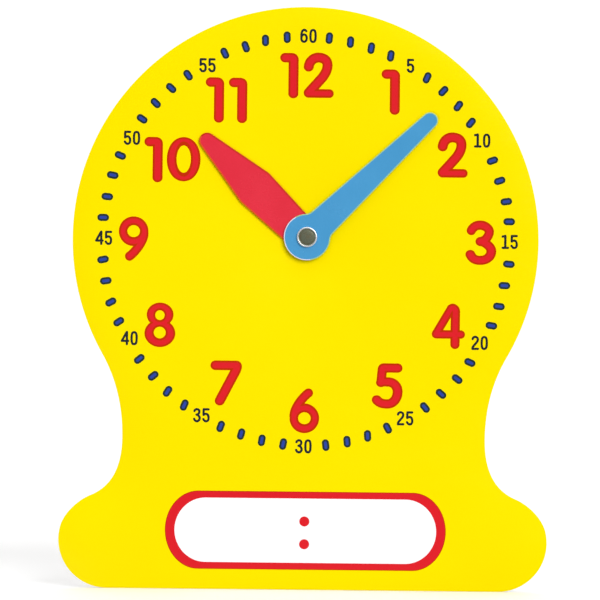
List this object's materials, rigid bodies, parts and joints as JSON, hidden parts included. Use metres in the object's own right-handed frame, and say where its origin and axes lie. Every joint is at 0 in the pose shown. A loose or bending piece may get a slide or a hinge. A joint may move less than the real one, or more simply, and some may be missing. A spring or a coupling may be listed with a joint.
{
  "type": "demonstration clock",
  "caption": "Flat classroom demonstration clock: a dial-shaped wipe-clean board on a broad base, with a red hour hand and a blue minute hand that turn freely on one rivet.",
  "frame": {"origin": "middle of the board's base edge, at half the board's thickness", "axes": "+X towards 3 o'clock, +Y out of the back, +Z towards 12 o'clock; the printed face looks along -Y"},
  "size_m": [0.2932, 0.0085, 0.3497],
  "materials": {
    "board_white": "cut edge of a rigid white plastic sheet",
    "face_yellow": "printed film, smooth wipe-clean gloss",
    "backing_white": "plain white film, satin gloss",
    "hand_red": "printed plastic sheet, satin",
    "hand_blue": "printed plastic sheet, satin",
    "washer_nylon": "natural nylon",
    "rivet_metal": "nickel-plated pressed steel, polished rim"
  },
  "bodies": {
    "board": {"board_core": "board_white", "face_sheet": "face_yellow", "backing_sheet": "backing_white", "face_washer": "washer_nylon", "hand_spacer_washer": "washer_nylon", "rear_washer": "washer_nylon", "rivet_front_cap": "rivet_metal", "rivet_post": "rivet_metal", "rivet_rear_socket": "rivet_metal", "rivet_rear_cap": "rivet_metal"},
    "hour": {"hour_hand": "hand_red"},
    "minute": {"minute_hand": "hand_blue"}
  },
  "joints": [
    {"name": "hour_turn", "type": "hinge", "parent": "board", "child": "hour", "pos_m": [0.0008, 0, 0.2116], "axis": [0, 1, 0], "continuous": true},
    {"name": "minute_turn", "type": "hinge", "parent": "board", "child": "minute", "pos_m": [0.0008, 0, 0.2116], "axis": [0, 1, 0], "continuous": true}
  ]
}
